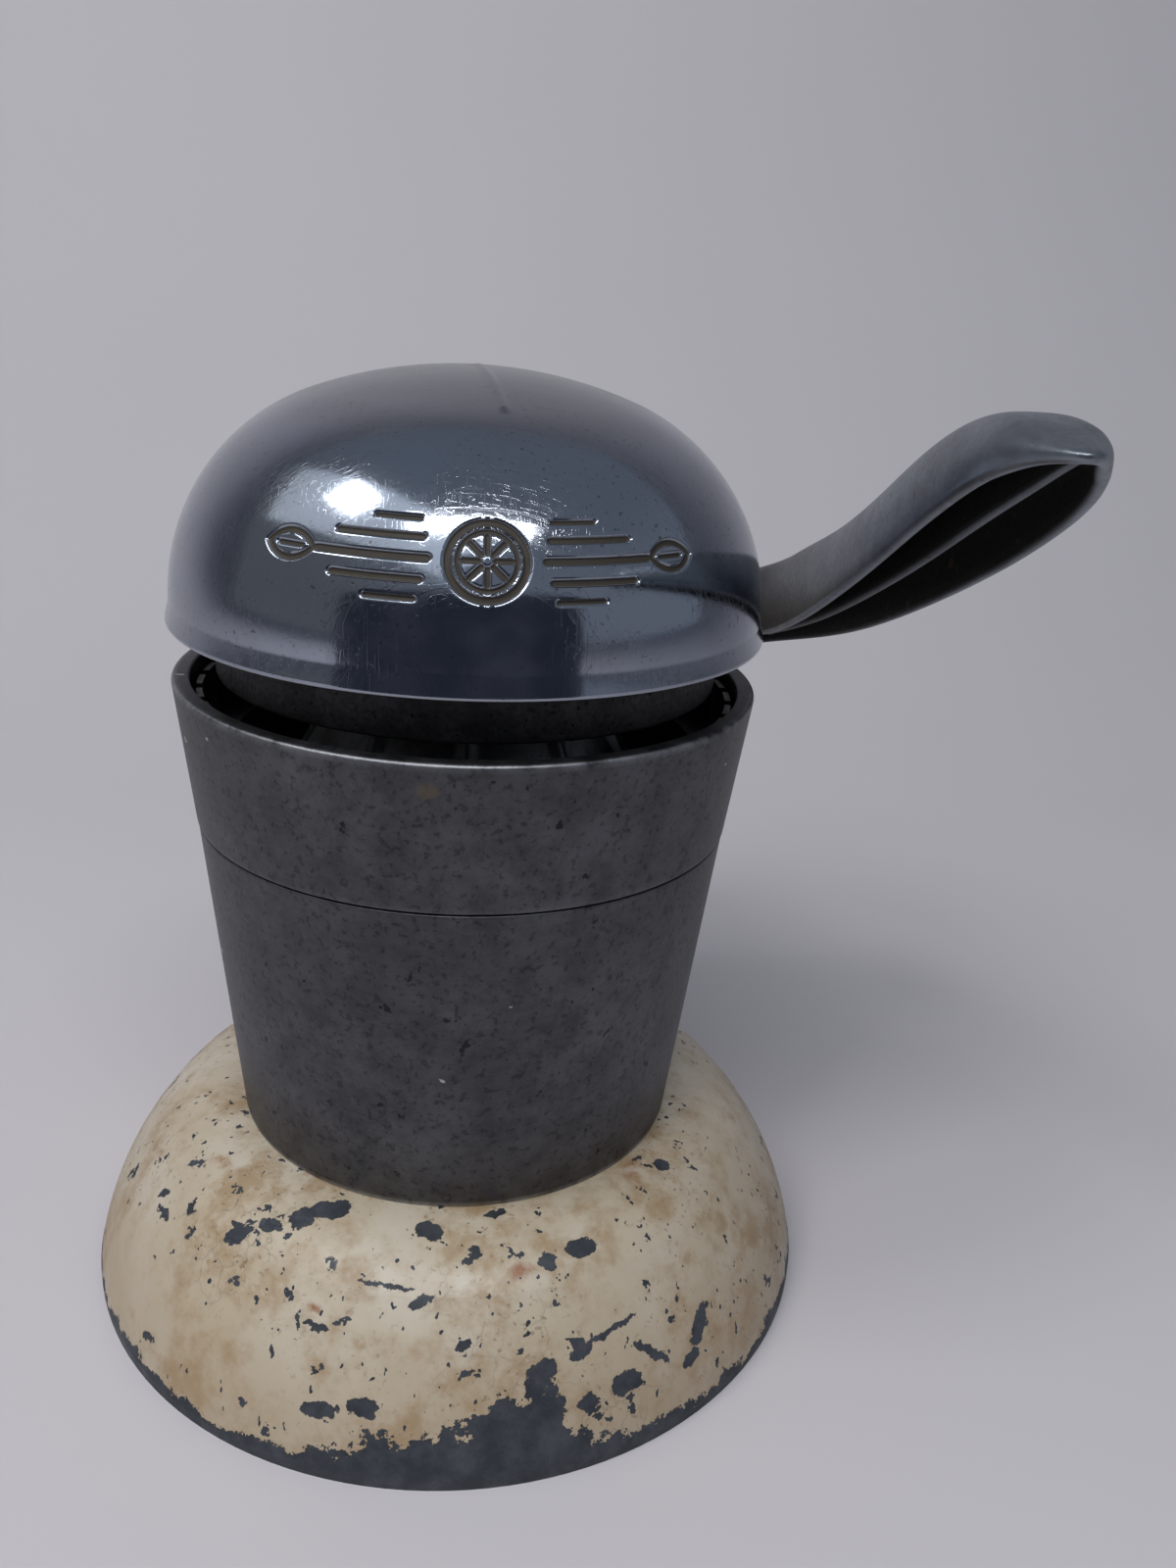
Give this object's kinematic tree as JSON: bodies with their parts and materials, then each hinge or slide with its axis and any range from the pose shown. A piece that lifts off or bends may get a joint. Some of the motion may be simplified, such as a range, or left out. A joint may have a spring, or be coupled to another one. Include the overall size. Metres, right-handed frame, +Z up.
{
  "type": "citrus press juicer",
  "caption": "Hand lever citrus press: bell base, juice cup, strainer ring and a domed head that a side lever drives down by rack and pinion.",
  "frame": {"origin": "on the table, under the common axis of the base, the cup and the head", "axes": "+Z up, +X towards the lever's side, -Y towards the front, +Y towards the rear column"},
  "size_m": [0.1755, 0.1895, 0.197],
  "materials": {
    "enamel": "aged cream enamel, gloss, chipped to bare metal",
    "polished_aluminium": "polished cast aluminium with fine scratches",
    "dull_aluminium": "dull turned aluminium, spotted with age",
    "rough_aluminium": "rough cast aluminium, unpolished",
    "lever_aluminium": "satin cast aluminium",
    "strainer_aluminium": "spun aluminium sheet",
    "cone_aluminium": "cast aluminium, brushed",
    "machined_steel": "machined steel, oiled",
    "zinc_steel": "zinc-plated steel",
    "bronze": "sintered bronze"
  },
  "bodies": {
    "stand": {"base_bell": "enamel", "column": "enamel", "column_screws": "zinc_steel", "juice_cup": "dull_aluminium", "strainer_ring": "dull_aluminium", "strainer_basket": "strainer_aluminium", "squeezing_cone": "cone_aluminium", "cone_screw": "zinc_steel", "left_bush": "bronze", "right_bush": "bronze", "drag_shoe": "bronze", "drag_spring": "machined_steel", "drag_screw": "zinc_steel", "stop_screw": "zinc_steel", "rear_cover": "enamel", "cover_screws": "zinc_steel"},
    "rack": {"rack_bar": "machined_steel"},
    "head": {"head_dome": "polished_aluminium", "press_cup": "rough_aluminium", "press_screw": "zinc_steel", "hinge_pin": "machined_steel", "left_hinge_washer": "zinc_steel", "right_hinge_washer": "zinc_steel"},
    "lever": {"lever": "lever_aluminium", "lever_shaft": "machined_steel", "pinion": "machined_steel", "pinion_pin": "machined_steel", "lever_pin": "machined_steel", "thrust_washer": "zinc_steel", "shaft_clip": "zinc_steel"}
  },
  "joints": [
    {"name": "rack_slide", "type": "slide", "parent": "stand", "child": "rack", "axis": [0, 0, 1], "range_m": [-0.0097, 0.0125]},
    {"name": "lever_turn", "type": "hinge", "parent": "stand", "child": "lever", "pos_m": [0, 0.079, 0.127], "axis": [1, 0, 0], "range_deg": [-75, 58.2]},
    {"name": "head_tilt", "type": "hinge", "parent": "rack", "child": "head", "pos_m": [0, 0.06725, 0.16], "axis": [-1, 0, 0], "range_deg": [0, 100]}
  ],
  "couplings": [
    {"joint": "lever_turn", "follows": "rack_slide", "rad_per_m": -104.17}
  ]
}
